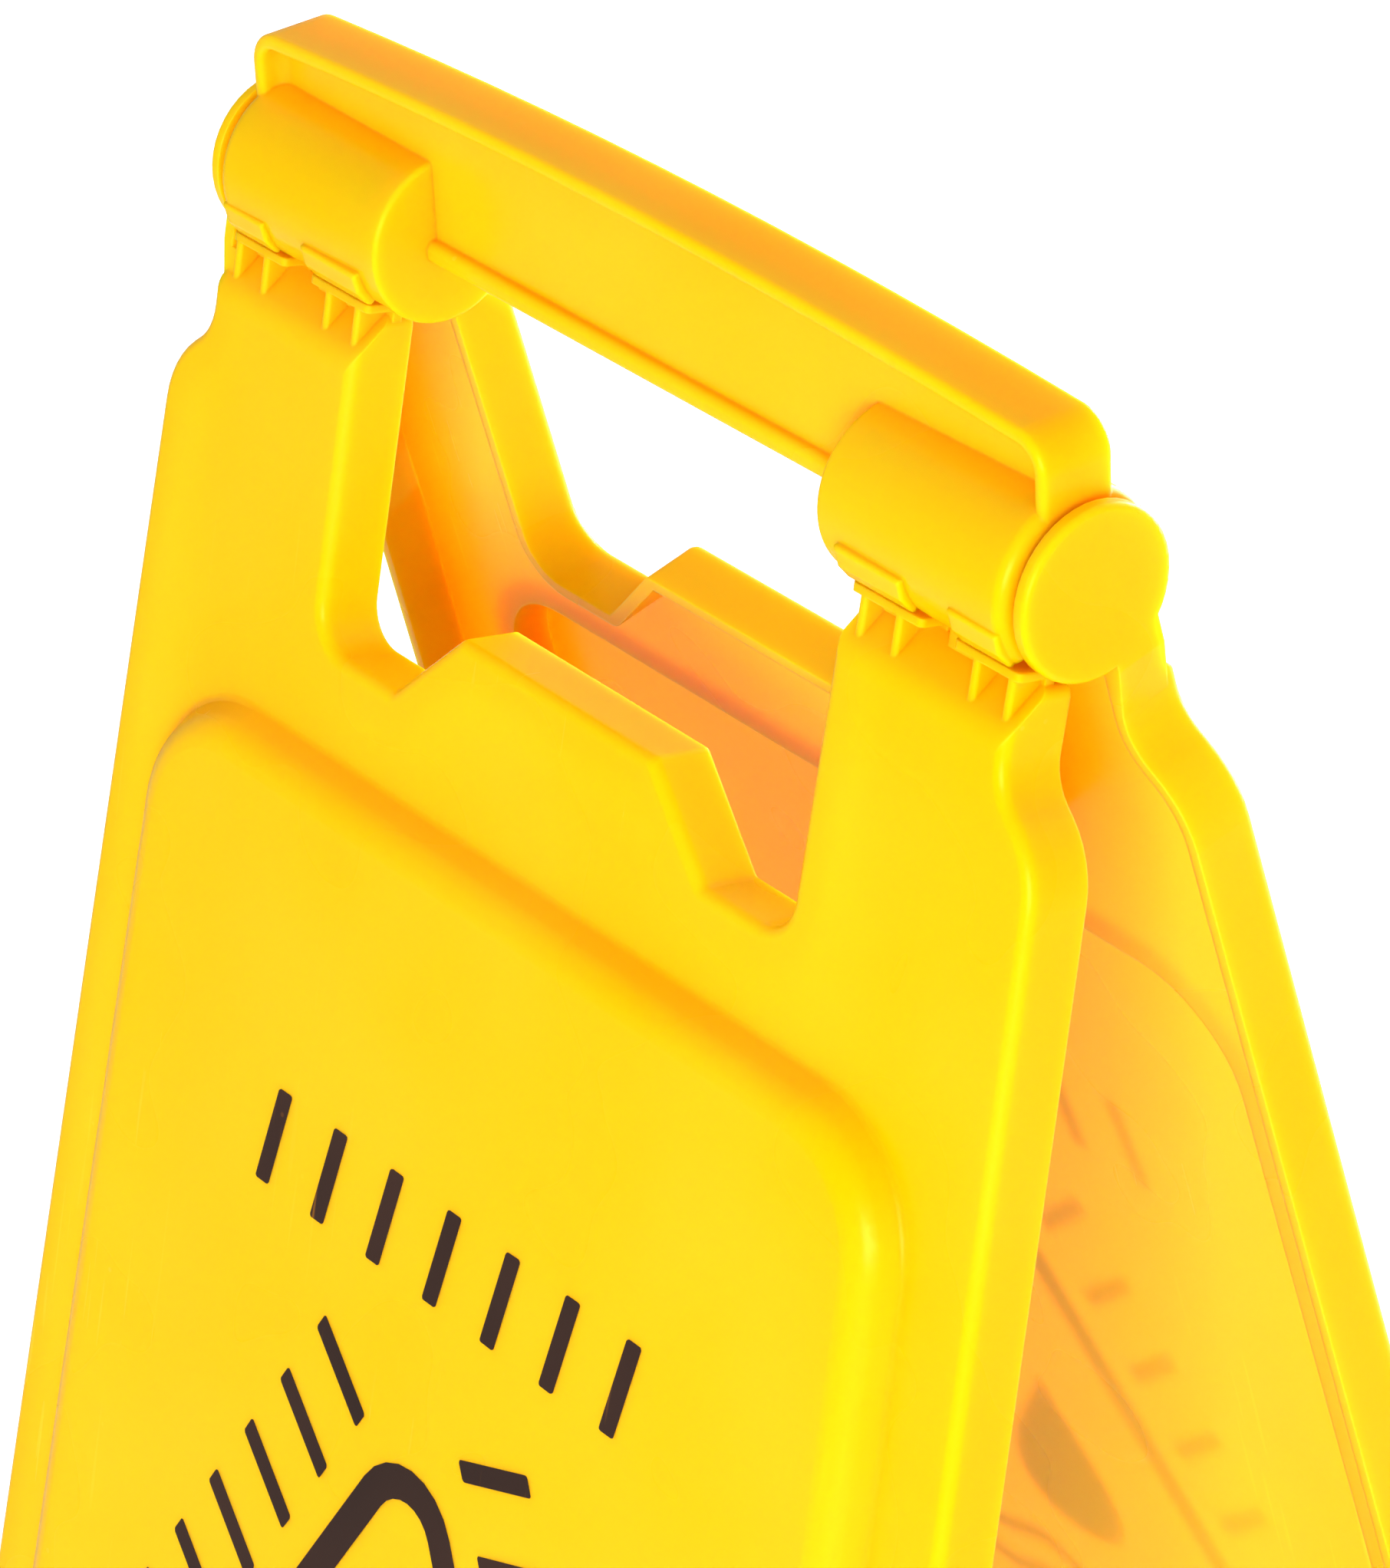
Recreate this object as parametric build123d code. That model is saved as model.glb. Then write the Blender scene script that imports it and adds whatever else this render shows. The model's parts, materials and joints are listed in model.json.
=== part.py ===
"""Folding floor sign: two identical moulded leaves hinged under one moulded carrying handle.

Frame: millimetres, +Z up, X across the sign, -Y out of the front leaf's face.
The origin is on the floor, midway between the four feet, with the sign standing open.
A leaf is drawn hanging straight down from its hinge axis, which lies on X: "down" is the
distance below that axis and "out" is the distance from the middle plane towards the face.
"""
from build123d import *
from math import cos, hypot, radians, sin, tan
import os

# ---- driving dimensions: the stance ------------------------------------------------------------
leaf_length = 585.0          # hinge axis to the foot, along the leaf's open rim
open_angle = 13.4            # each leaf's lean from the vertical when the sign stands open
fold_gap = 0.3               # each rim stops this far from the middle plane when folded flat

# ---- driving dimensions: the leaf ---------------------------------------------------------------
leaf_depth = 13.0            # middle plane to the leaf's outer face
leaf_wall = 2.5              # moulded wall
neck_disc_lap = 0.7          # the arms' outer necks stand this far outside the end discs' backs
neck_radius = 10.0
shoulder_width = 11.5        # the shoulders stand this far outside the necks
shoulder_radius = 18.0
foot_half_width = 149.0      # at the feet
neck_length = 16.4           # top of the arm to the start of the shoulder curve
shoulder_length = 9.4        # start to end of the shoulder curve
arm_inner = 68.8             # half width of the hand opening
opening_bottom = 79.0        # bottom of the hand opening
opening_radius = 8.0
tab_height = 17.0            # raised tab in the hand opening
tab_foot_half = 45.4
tab_top_half = 28.0
corner_radius = 2.0          # small corners of the outline
foot_inner_half = 98.0       # inner end of each foot
foot_arch_half = 86.0        # arch between the feet, at its top
foot_arch_height = 14.0
foot_arch_radius = 10.0
face_edge_radius = 2.2       # rounded edge all round the outer face
shelf_run = 8.0              # the arms' tops slope back to a shelf: how far in it starts
shelf_drop = 8.0             # and how far down the face it ends
shelf_edge_radius = 7.0      # soft edge where it meets the face
shelf_wall_share = 0.7       # share of the wall that the sloping shelf keeps along each direction

# ---- driving dimensions: the raised panel -------------------------------------------------------
panel_top = 97.7             # its foot line below the hinge
panel_end_margin = 36.2      # and from the foot of the leaf
panel_side_margin = 17.1     # and from the side of the leaf
panel_corner = 27.0          # corner radius of the foot line
panel_height = 7.5           # how far it stands out from the face
panel_slope = 4.3            # run of its side from the foot line to the top
panel_root_radius = 1.5      # tight hollow edge at the face
panel_roll_radius = 7.0      # wide round edge at the top
pocket_margin = 5.5          # inside the leaf, the panel's pocket starts this far inside the foot line
pocket_slope = 1.3           # run of the pocket's own side

# ---- driving dimensions: the hinge --------------------------------------------------------------
shell_radius = 16.0
shell_flare = 0.9            # the shells' outer ends are this much larger in radius
shell_wall = 2.6
shell_inner_end = 62.5       # closed inner end of each shell
shell_outer_end = 110.6      # open outer end of each shell
shell_end_wall = 2.5
shell_end_radius = 2.4       # rounded outer end
shell_face_radius = 0.8      # rounded inner end
lip_angle = 37.0             # shell lip, degrees below the horizontal
pad_rise = 1.5               # stop pads stand this far off the shell
pad_top_angle = 12.0
pad_edge_radius = 0.7
inner_pad = (5.5, 22.5)      # start and end from the shell's inner end
outer_pad = (13.6, 1.1)      # start and end from the shell's outer end
knuckle_gap = 0.5            # side clearance between neighbouring knuckles
knuckle_clearance = 0.6      # knuckle to the inside of the shell
knuckles_per_arm = 4         # both leaves together
neck_out = 7.0               # the knuckle's neck reaches this far out
pin_radius = 4.0
pin_chamfer = 0.6
pin_clearance = 0.06         # running fit of the pin in the knuckles
pin_end_play = 0.4
disc_radius = 15.65
disc_thickness = 2.7
disc_gap = 1.7               # end disc to the open end of the shell
disc_edge_radius = 1.1
bridge_overlap = 5.0         # the bridge below an end disc starts this far up its edge
bridge_drop = 10.4           # and runs this far below the top of the arm
bridge_depth = 10.0
bridge_sink = 0.7            # the bridge's underside lies this far below the top of the arm
stop_clearance = 0.3         # stop ledge to stop pad when the sign stands open
ledge_thickness = 1.5
ledge_rise = 2.72            # top of the ledge above the top of the arm
ledge_overlap = 2.0          # ledges reach this far past their pads towards the arm's middle
ledge_disc_gap = 0.8         # ledge to the other leaf's end disc
ledge_corner_radius = 1.2
inner_gussets = (3.4, 12.4)  # gussets from the inner face of the arm
outer_gussets = (9.7, 1.0)   # gussets from the shell's outer end
gusset_thickness = 1.8
gusset_out = 11.0            # gussets and ledges reach this far out
gusset_root = 3.0            # and start this far out
gusset_embed = 0.7           # and are sunk this far into the shelf
gusset_edge_radius = 0.7

# ---- driving dimensions: the handle -------------------------------------------------------------
grip_rise = 15.6             # crown of the grip above the shells
grip_crown = 3.8             # the crown stands this much above the grip's ends
flange_half_width = 7.4
flange_thickness = 2.8
flange_edge_radius = 1.2
grip_end_radius = 7.0
web_half = 2.3
web_root_radius = 2.6
bead_top = 0.8               # bead along the bottom of the web
bead_bottom = -3.3
bead_half_width = 4.6
bead_edge_radius = 1.6

# ---- sizes that follow --------------------------------------------------------------------------
hinge_height = leaf_length * cos(radians(open_angle)) - fold_gap * sin(radians(open_angle))
face_bottom = leaf_length + leaf_depth * tan(radians(open_angle))
panel_bottom = leaf_length - panel_end_margin
pad_radius = shell_radius + pad_rise
shell_bore = shell_radius - shell_wall
knuckle_radius = shell_bore - knuckle_clearance
ledge_top = pad_radius * sin(radians(lip_angle + open_angle)) + stop_clearance
arm_top = ledge_top + ledge_rise
shelf_back = leaf_depth - shelf_run
shelf_face_line = arm_top + shelf_drop
neck_end = arm_top + neck_length
shoulder_end = neck_end + shoulder_length
disc_inner = shell_outer_end + disc_gap
disc_outer = disc_inner + disc_thickness
neck_half_width = disc_inner + neck_disc_lap
shoulder_half_width = neck_half_width + shoulder_width
side_rate = (foot_half_width - shoulder_half_width) / (leaf_length - shoulder_end)
knuckle_zone_end = shell_outer_end - knuckle_gap
grip_top = shell_radius + grip_rise
pad_spans = (
    (shell_inner_end + inner_pad[0], shell_inner_end + inner_pad[1]),
    (shell_outer_end - outer_pad[0], shell_outer_end - outer_pad[1]),
)
gusset_places = [arm_inner + place for place in inner_gussets]
gusset_places += [shell_outer_end - place for place in outer_gussets]
overcut = 1.0                # cutting solids run this far past a face
near = 0.01                  # tolerance when edges are picked by their place
far = 60.0                   # safely past the hinge
BIG = 2000.0                 # larger than the whole sign
BASE_ALIGN = (Align.CENTER, Align.CENTER, Align.MIN)
TOP_ALIGN = (Align.CENTER, Align.CENTER, Align.MAX)


def side_at(down):
    """Half width of the leaf's straight side."""
    return shoulder_half_width + side_rate * (down - shoulder_end)


def mirrored(right_half):
    """Close an outline from its right half, given as (x, down, corner radius)."""
    left_half = [(-x, down, radius) for x, down, radius in reversed(right_half)]
    return right_half + left_half


def outline_face(outline, out):
    """Flat face of an outline at a distance out from the middle plane."""
    points = [(x, -out, -down) for x, down, radius in outline]
    radii = [radius for x, down, radius in outline]
    return make_face(FilletPolyline(*points, radius=radii, close=True))


def side_prism(section, start, end):
    """Solid with a section given as (out, down) points, running from x = start to x = end."""
    points = [(start, -out, -down) for out, down in section]
    face = make_face(Polyline(*points, close=True))
    return extrude(face, amount=end - start, dir=(1, 0, 0))


def axle(radius, start, end):
    """Cylinder along the hinge axis from x = start to x = end."""
    rod = Cylinder(radius, abs(end - start), rotation=(0, 90, 0))
    return Pos((start + end) / 2, 0, 0) * rod


# ---- leaf ---------------------------------------------------------------------------------------
def leaf_outline():
    """Arms, hand opening with its tab, shoulders, straight sides, feet and arch."""
    foot = face_bottom + overcut
    return mirrored([
        (foot_arch_half, leaf_length - foot_arch_height, foot_arch_radius),
        (foot_inner_half, foot, 0),
        (side_at(foot), foot, 0),
        (side_at(shoulder_end), shoulder_end, shoulder_radius),
        (neck_half_width, neck_end, neck_radius),
        (neck_half_width, arm_top, corner_radius),
        (arm_inner, arm_top, corner_radius),
        (arm_inner, opening_bottom, opening_radius),
        (tab_foot_half, opening_bottom, corner_radius),
        (tab_top_half, opening_bottom - tab_height, corner_radius),
    ])


def panel_outline(inset):
    """Outline of the raised panel's foot line, moved inwards by an inset."""
    top = panel_top + inset
    bottom = panel_bottom - inset
    margin = panel_side_margin + inset
    radius = panel_corner - inset
    return mirrored([
        (side_at(bottom) - margin, bottom, radius),
        (side_at(top) - margin, top, radius),
    ])


def raised_panel(foot_inset, foot_out, slope, height):
    """Volume of a raised panel up to its top, run back past its foot line along its slope."""
    rate = slope / height
    foot = outline_face(panel_outline(foot_inset - rate * overcut), foot_out - overcut)
    top = outline_face(panel_outline(foot_inset + slope), foot_out + height)
    return loft([foot, top], ruled=True)


def foot_line_edges(solid, out):
    """Edges of a raised panel's foot line on a plane at one distance out."""
    top = -panel_top + near
    bottom = -panel_bottom - near
    side = side_at(panel_bottom) - panel_side_margin + near
    level = edges_at_out(solid, out)
    return ShapeList(edge for edge in level if in_window(edge.center(), side, bottom, top))


def in_window(point, side, bottom, top):
    """True for a point between two heights and inside a half width."""
    return bottom < point.Z < top and abs(point.X) < side


def shelf_section():
    """Section of everything in front of and above the sloping shelf, with its soft face edge."""
    clear_of_face = leaf_depth + overcut
    section = Polyline(
        (0, -shelf_back, far),
        (0, -shelf_back, -arm_top),
        (0, -leaf_depth, -shelf_face_line),
        (0, -leaf_depth, -shelf_face_line - shelf_drop),
        (0, -clear_of_face, -shelf_face_line - shelf_drop),
        (0, -clear_of_face, far),
        close=True,
    )
    face = make_face(section)
    corner = face.vertices().sort_by_distance((0, -leaf_depth, -shelf_face_line))[0]
    return fillet(corner, shelf_edge_radius)


def shelf_cutter():
    """Everything in front of and above the sloping shelf on top of the arms."""
    half = neck_half_width + overcut
    return extrude(Pos(-half, 0, 0) * shelf_section(), amount=2 * half, dir=(1, 0, 0))


def shelf_backing():
    """The same region moved inwards by the shelf's wall, which the leaf's hollow stays clear of."""
    sink = leaf_wall * shelf_wall_share
    back = shelf_back - sink
    section = [
        (back, arm_top - far),
        (back, arm_top + sink),
        (back + 2 * shelf_run, arm_top + sink + 2 * shelf_drop),
        (back + 2 * shelf_run, arm_top - far),
    ]
    return side_prism(section, -neck_half_width - overcut, neck_half_width + overcut)


def leaf_tray():
    """Skirted tray: face, rounded edges, shelf, raised panel and one moulded wall."""
    face = outline_face(leaf_outline(), fold_gap)
    tray = extrude(face, amount=leaf_depth - fold_gap, dir=(0, -1, 0))
    tray = fillet(edges_at_out(tray, leaf_depth), face_edge_radius)
    tray = tray - shelf_cutter()
    panel = raised_panel(0, leaf_depth, panel_slope, panel_height)
    tray = tray + fillet(edges_at_out(panel, leaf_depth + panel_height), panel_roll_radius)
    tray = fillet(foot_line_edges(tray, leaf_depth), panel_root_radius)
    return tray - leaf_hollow()


def leaf_hollow():
    """The space inside a leaf, open to the middle plane, with the raised panel's pocket."""
    face = offset(outline_face(leaf_outline(), fold_gap - overcut), amount=-leaf_wall)
    ceiling = leaf_depth - leaf_wall
    hollow = extrude(face, amount=ceiling - fold_gap + overcut, dir=(0, -1, 0))
    hollow = hollow - shelf_backing()
    hollow = hollow + raised_panel(pocket_margin, ceiling, pocket_slope, panel_height)
    sole = Pos(0, 0, -leaf_length + leaf_wall) * Box(BIG, BIG, BIG, align=TOP_ALIGN)
    return hollow - sole


def edges_at_out(solid, out):
    """Edges that lie at one distance out from the middle plane."""
    return solid.edges().filter_by_position(Axis.Y, -out - near, -out + near)


def knuckle_slots():
    """Start and end of each of one leaf's knuckles, counted along +X on both arms."""
    pitch = (knuckle_zone_end - arm_inner + knuckle_gap) / knuckles_per_arm
    starts = [-knuckle_zone_end + i * pitch for i in range(0, knuckles_per_arm, 2)]
    starts += [arm_inner + i * pitch for i in range(0, knuckles_per_arm, 2)]
    return [(start, start + pitch - knuckle_gap) for start in starts]


def knuckle(start, end):
    """Ring round the pin with its neck down to the arm."""
    section = [
        (fold_gap, 0),
        (neck_out, 0),
        (neck_out, arm_top + leaf_wall / 2),
        (fold_gap, arm_top + leaf_wall / 2),
    ]
    return axle(knuckle_radius, start, end) + side_prism(section, start, end)


def end_disc():
    """Disc over the shell's open end, with the bridge down to the leaf's side wall."""
    disc = axle(disc_radius, -disc_outer, -disc_inner)
    rim = disc.edges().filter_by(GeomType.CIRCLE).sort_by(Axis.X)[0]
    disc = fillet(rim, disc_edge_radius)
    hub = axle(knuckle_radius, -disc_inner, -knuckle_zone_end)
    bridge_top = -disc_radius + bridge_overlap
    bridge_foot = -arm_top - bridge_drop
    underside = -arm_top - bridge_sink
    bridge_points = [
        (-disc_outer, bridge_top),
        (-disc_outer, -arm_top),
        (-neck_half_width, bridge_foot),
        (-neck_half_width + leaf_wall, bridge_foot),
        (-neck_half_width + leaf_wall, underside),
        (-disc_inner, underside),
        (-disc_inner, bridge_top),
    ]
    section = make_face(Polyline(*[(x, -fold_gap, z) for x, z in bridge_points], close=True))
    bridge = extrude(section, amount=bridge_depth, dir=(0, -1, 0))
    return disc + hub + bridge


def stop_ledge(start, end):
    """Ledge that meets a pair of stop pads, with the upstand behind it."""
    root = arm_top + overcut
    section = [
        (gusset_root, ledge_top),
        (gusset_out, ledge_top),
        (gusset_out, ledge_top + ledge_thickness),
        (shelf_back, ledge_top + ledge_thickness),
        (shelf_back, root),
        (gusset_root, root),
    ]
    ledge = side_prism(section, start, end)
    corners = edges_at_out(ledge, gusset_out).filter_by(Axis.Z)
    return fillet(corners, ledge_corner_radius)


def gusset(place):
    """Rib from the sloping shelf up to the ledge."""
    slope = shelf_drop / shelf_run
    root = arm_top + gusset_embed
    section = [
        (gusset_root, ledge_top),
        (gusset_out, ledge_top),
        (gusset_out, root + slope * (gusset_out - shelf_back)),
        (shelf_back, root),
        (gusset_root, root),
    ]
    rib = side_prism(section, place - gusset_thickness / 2, place + gusset_thickness / 2)
    front = edges_at_out(rib, gusset_out).filter_by(Axis.Z)
    return fillet(front, gusset_edge_radius)


def ledge_spans():
    """Ledges on the right arm, kept clear of the other leaf's end disc."""
    inner_span, outer_span = pad_spans
    return [
        (arm_inner, inner_span[1] + ledge_overlap),
        (outer_span[0] - ledge_overlap, disc_inner - ledge_disc_gap),
    ]


def leaf():
    """One leaf moulding, hanging straight down from its hinge axis."""
    body = leaf_tray()
    for start, end in knuckle_slots():
        body += knuckle(start, end)
    body += end_disc()
    for start, end in ledge_spans():
        body += stop_ledge(start, end)
        body += stop_ledge(-end, -start)
    for place in gusset_places:
        body += gusset(place)
        body += gusset(-place)
    body -= axle(pin_radius + pin_clearance, -disc_inner, disc_inner)
    return body


# ---- hinge pins ---------------------------------------------------------------------------------
def hinge_pin(side):
    """Straight pin with chamfered ends, held by the shell's end wall and the end disc."""
    start = shell_inner_end + shell_end_wall + pin_end_play
    end = disc_inner - pin_end_play
    pin = axle(pin_radius, start, end)
    pin = chamfer(pin.edges().filter_by(GeomType.CIRCLE), pin_chamfer)
    return pin if side > 0 else mirror(pin, about=Plane.YZ)


# ---- handle -------------------------------------------------------------------------------------
def grip_profile(inset, bottom):
    """Arched top with rounded ends, drawn in the plane of the web."""
    end = shell_outer_end - inset
    crown = grip_top - inset
    shoulder = crown - grip_crown
    left = Line((-end, 0, bottom), (-end, 0, shoulder))
    arch = ThreePointArc((-end, 0, shoulder), (0, 0, crown), (end, 0, shoulder))
    right = Line((end, 0, shoulder), (end, 0, bottom))
    base = Line((end, 0, bottom), (-end, 0, bottom))
    face = make_face([left, arch, right, base])
    corners = face.vertices().filter_by_position(Axis.Z, shoulder - near, shoulder + near)
    return fillet(corners, grip_end_radius - inset)


def both_ways(face, half):
    """Extrude a face in the plane of the web to both sides."""
    return extrude(face, amount=half, dir=(0, 1, 0)) + extrude(face, amount=half, dir=(0, -1, 0))


def grip():
    """I-section grip: an arched flange that wraps the ends, with a web below it."""
    root = shell_bore - overcut
    flange_face = grip_profile(0, root) - grip_profile(flange_thickness, root - overcut)
    flange = both_ways(flange_face, flange_half_width)
    sides = edges_at_out(flange, flange_half_width) + edges_at_out(flange, -flange_half_width)
    above_shell = [edge for edge in sides if edge.center().Z > root + near]
    flange = fillet(above_shell, flange_edge_radius)
    body = flange + both_ways(grip_profile(0, root), web_half)
    roots = edges_at_out(body, web_half) + edges_at_out(body, -web_half)
    inside = [edge for edge in roots if edge.center().Z > root + near]
    return fillet(inside, web_root_radius)


def grip_bottom():
    """The web between the shells, with a rounded bead along its lower edge."""
    root = shell_bore - overcut
    web_depth = root - bead_bottom + overcut
    web = Box(2 * shell_inner_end, 2 * web_half, web_depth, align=BASE_ALIGN)
    bead_size = (2 * shell_inner_end + overcut, 2 * bead_half_width, bead_top - bead_bottom)
    bead = Box(*bead_size, align=BASE_ALIGN)
    bead = fillet(bead.edges().filter_by(Axis.X), bead_edge_radius)
    return Pos(0, 0, bead_bottom) * (web + bead)


def shell_body():
    """Right-hand hinge shell before it is bored: rounded outer end, closed inner end."""
    length = shell_outer_end - shell_inner_end
    cone = Cone(shell_radius, shell_radius + shell_flare, length, rotation=(0, 90, 0))
    shell = Pos((shell_inner_end + shell_outer_end) / 2, 0, 0) * cone
    rims = shell.edges().filter_by(GeomType.CIRCLE).sort_by(Axis.X)
    shell = fillet(rims[-1], shell_end_radius)
    rims = shell.edges().filter_by(GeomType.CIRCLE).sort_by(Axis.X)
    return fillet(rims[0], shell_face_radius)


def shell_opening():
    """Bore and downward opening of the right-hand shell."""
    start = shell_inner_end + shell_end_wall
    end = shell_outer_end + overcut
    reach_out = far * cos(radians(lip_angle))
    reach_down = far * sin(radians(lip_angle))
    section = [
        (0, 0),
        (reach_out, reach_down),
        (reach_out, far),
        (-reach_out, far),
        (-reach_out, reach_down),
    ]
    return axle(shell_bore, start, end) + side_prism(section, start, end)


def stop_pad(start, end, side):
    """Raised pad along a shell lip; side is 1 in front and -1 behind."""
    top = radians(pad_top_angle)
    lip = radians(lip_angle)
    middle = (top + lip) / 2
    corner = pad_radius / cos((lip - top) / 2)
    section = [
        (shell_bore * cos(top), shell_bore * sin(top)),
        (pad_radius * cos(top), pad_radius * sin(top)),
        (corner * cos(middle), corner * sin(middle)),
        (pad_radius * cos(lip), pad_radius * sin(lip)),
        (shell_bore * cos(lip), shell_bore * sin(lip)),
        (shell_bore * cos(middle), shell_bore * sin(middle)),
    ]
    block = side_prism([(side * out, down) for out, down in section], start, end)
    reach = [(edge, hypot(edge.center().Y, edge.center().Z)) for edge in block.edges()]
    outer = [edge for edge, radius in reach if radius > pad_radius - pad_edge_radius]
    return fillet(outer, pad_edge_radius)


def handle():
    """Arched I-section grip with a hinge shell under each end."""
    body = grip() + grip_bottom()
    body += shell_body() + mirror(shell_body(), about=Plane.YZ)
    body -= shell_opening() + mirror(shell_opening(), about=Plane.YZ)
    for start, end in pad_spans:
        for side in (1, -1):
            pad = stop_pad(start, end, side)
            body += pad + mirror(pad, about=Plane.YZ)
    return body


# ---- the standing sign --------------------------------------------------------------------------
def stand_open(piece):
    """Lean the front leaf out and lift its hinge axis to its height."""
    return Pos(0, 0, hinge_height) * Rot(-open_angle, 0, 0) * piece


def main():
    floor = Box(BIG, BIG, BIG, align=TOP_ALIGN)
    lift = Pos(0, 0, hinge_height)
    front_leaf = stand_open(leaf()) - floor
    nodes = {
        "front_leaf": front_leaf,
        "rear_leaf": Rot(0, 0, 180) * front_leaf,
        "handle": lift * handle(),
        "hinge_pin_left": lift * hinge_pin(-1),
        "hinge_pin_right": lift * hinge_pin(1),
    }
    os.makedirs("parts", exist_ok=True)
    for name, solid in nodes.items():
        export_step(solid, f"parts/{name}.step")


main()
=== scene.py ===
"""Looks of a folding floor sign: moulded plastic finishes, printed marks, light and camera."""

import json
import math

import bpy
import numpy as np
from bpy.props import FloatProperty, FloatVectorProperty, IntProperty, PointerProperty
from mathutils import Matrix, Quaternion, Vector


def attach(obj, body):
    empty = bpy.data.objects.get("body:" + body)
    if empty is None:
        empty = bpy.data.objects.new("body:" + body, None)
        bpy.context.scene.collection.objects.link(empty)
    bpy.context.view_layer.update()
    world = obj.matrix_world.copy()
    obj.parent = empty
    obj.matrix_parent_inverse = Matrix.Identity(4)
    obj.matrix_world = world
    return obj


bl_info = {
    "name": "Folding floor sign",
    "version": (1, 0, 0),
    "blender": (4, 5, 0),
    "location": "3D View > Sidebar > Floor Sign",
    "description": "Finishes, printed marks, light and camera for a folding floor sign",
    "category": "Object",
}

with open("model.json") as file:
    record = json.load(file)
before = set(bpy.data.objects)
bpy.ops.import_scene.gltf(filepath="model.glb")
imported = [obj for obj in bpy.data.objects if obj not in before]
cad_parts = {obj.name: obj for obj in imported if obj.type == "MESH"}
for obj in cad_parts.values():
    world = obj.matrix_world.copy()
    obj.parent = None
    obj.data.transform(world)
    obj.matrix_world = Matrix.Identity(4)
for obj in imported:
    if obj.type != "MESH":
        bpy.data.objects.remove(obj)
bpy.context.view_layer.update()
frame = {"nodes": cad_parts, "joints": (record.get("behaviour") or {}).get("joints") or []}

FRONT_HINGE = next(joint for joint in frame["joints"] if joint["name"] == "front_leaf_hinge")
HINGE_HEIGHT = FRONT_HINGE["pos_m"][2]
LEAN = math.radians(max(FRONT_HINGE["range_deg"]))
LEAVES = ("front_leaf", "rear_leaf")
PINS = ("hinge_pin_left", "hinge_pin_right")

# Print: where the rows beside and below the triangle lie, in dash heights.
LEFT_ROW_START = 0.9
RIGHT_ROW_START = 0.8
BOTTOM_ROW_DROP = 1.5
# Print: half the angle at a corner of the triangle, the number of waves, and lengths in metres.
HALF_CORNER = math.radians(30)
WAVES = 2
RAGGED_EDGE = 0.00006
PANEL_TEST_DOWN = 0.035
DROP_DOWN = 0.065
DROP_HEIGHT = 0.045
DROP_WIDTH = 0.030
WAVES_UP = 0.032
WAVE_PITCH = 0.012
WAVE_LENGTH = 0.090
WAVE_SWING = 0.0022
WAVE_STROKE = 0.0040

# Plastic and ink: reflection levels and tint, how light spreads inside, and how pale thin ink is.
SHEEN = 0.14
SHEEN_TINT = (1.0, 0.8, 0.22, 1.0)
GLOW_RADIUS = (0.7, 0.5, 0.04)
GLOW_SCALE = 0.014
INK_SHEEN = 0.15
THIN_INK = 4.0

# Stage: lamps' distance in metres and aim as a share of the hinge's height, the floor's half
# side in metres, and brightnesses, where SEEN is what the camera alone sees.
LAMP_DISTANCE = 2.2
LAMP_AIM = 0.75
FLOOR_HALF = 12.0
FLOOR_BOUNCE = 0.62
FLOOR_SEEN = 0.95
FLOOR_GLOW_SEEN = 0.42
ROOM_SEEN = 1.1


# ---- settings -----------------------------------------------------------------------------------
class FloorSignPlastic(bpy.types.PropertyGroup):
    """Moulded polypropylene of the leaves and the handle."""
    colour: FloatVectorProperty(
        name="Plastic colour", description="Body colour of the moulded plastic",
        subtype="COLOR", size=3, min=0.0, max=1.0, default=(1.0, 0.47, 0.0))
    # Painted shade: the colour mixed in where the surface lies in a corner; scratches in the print also
    # show it.
    deep_colour: FloatVectorProperty(
        name="Deep colour", description="Colour where the moulding is thick or runs out of light",
        subtype="COLOR", size=3, min=0.0, max=1.0, default=(1.0, 0.36, 0.0))
    # Pale colour of a faint random tone and of scratches, and of painted highlight lines along rounded
    # edges.
    chalk_colour: FloatVectorProperty(
        name="Chalk colour", description="Colour of rubbed and scratched plastic",
        subtype="COLOR", size=3, min=0.0, max=1.0, default=(1.0, 0.62, 0.05))
    pin_colour: FloatVectorProperty(
        name="Pin colour", description="Body colour of the hinge pins",
        subtype="COLOR", size=3, min=0.0, max=1.0, default=(0.80, 0.36, 0.004))
    roughness: FloatProperty(
        name="Roughness", description="Mean roughness of the moulded surface",
        subtype="FACTOR", min=0.05, max=1.0, default=0.29)
    grain_size: FloatProperty(
        name="Grain size", description="Size of the moulded surface's fine unevenness",
        unit="LENGTH", min=0.0002, max=0.01, default=0.0012)
    scuffs: FloatProperty(
        name="Scuffs", description="How much of the surface carries fine scratches and specks",
        subtype="FACTOR", min=0.0, max=1.0, default=0.35)


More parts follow.
